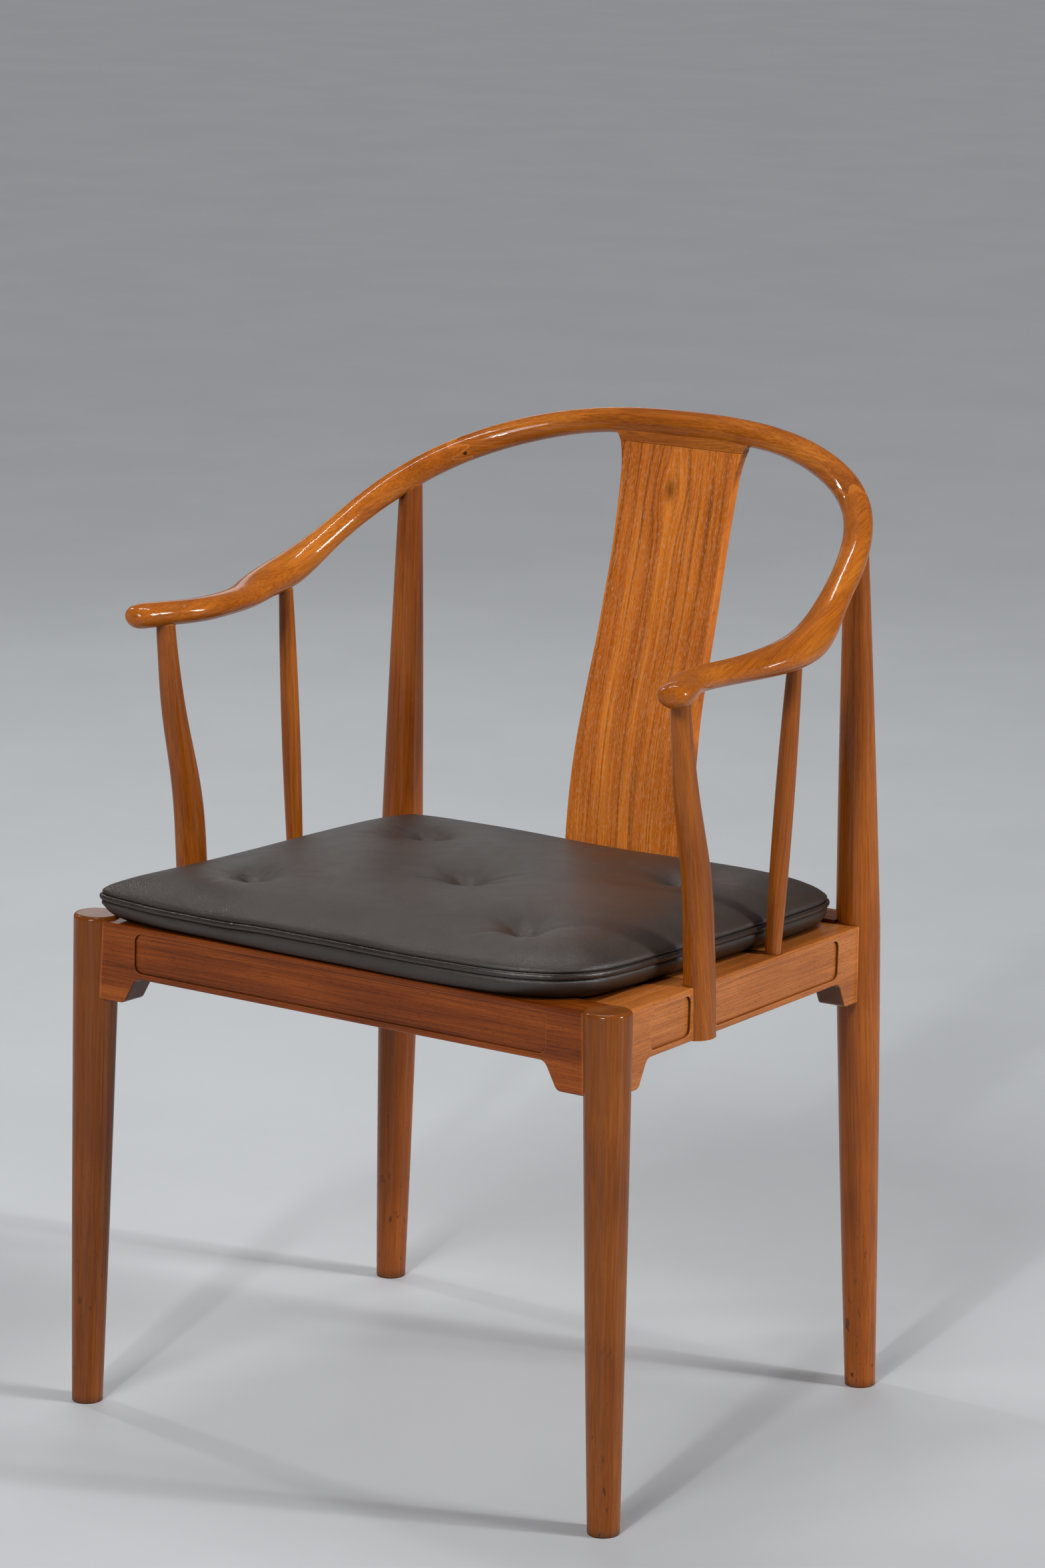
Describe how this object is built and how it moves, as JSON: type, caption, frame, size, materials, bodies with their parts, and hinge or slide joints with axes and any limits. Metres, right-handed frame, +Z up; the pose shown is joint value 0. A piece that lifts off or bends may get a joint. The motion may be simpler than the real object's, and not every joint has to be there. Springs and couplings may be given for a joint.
{
  "type": "armchair",
  "caption": "Wooden horseshoe-back armchair: a bent rail forms back and arms over a curved splat, with bracketed seat rails, round tapered legs and a loose tufted leather cushion.",
  "frame": {"origin": "on the floor, in the middle of the chair's outline seen from above", "axes": "+Z up; the chair faces -Y; +X to the right as seen from the front"},
  "size_m": [0.573, 0.5442, 0.8198],
  "materials": {
    "leg_wood": "satin lacquer",
    "rail_wood": "satin lacquer",
    "bow_wood": "gloss lacquer",
    "splat_wood": "gloss lacquer",
    "leather": "soft satin",
    "piping": "soft satin"
  },
  "bodies": {
    "chair_frame": {"front_right_leg": "leg_wood", "front_left_leg": "leg_wood", "rear_right_post": "leg_wood", "rear_left_post": "leg_wood", "front_rail": "rail_wood", "back_rail": "rail_wood", "right_side_rail": "rail_wood", "left_side_rail": "rail_wood", "seat_board": "rail_wood", "front_batten": "rail_wood", "rear_batten": "rail_wood", "crest_rail": "bow_wood", "right_arm": "bow_wood", "left_arm": "bow_wood", "back_splat": "splat_wood", "right_arm_post": "leg_wood", "left_arm_post": "leg_wood", "right_spindle": "leg_wood", "left_spindle": "leg_wood"},
    "cushion": {"seat_cushion": "leather", "cushion_piping": "piping"}
  },
  "joints": [
    {"name": "cushion_slide", "type": "slide", "parent": "chair_frame", "child": "cushion", "axis": [0, -0.9993, 0.0366], "range_m": [0, 0.44]}
  ]
}
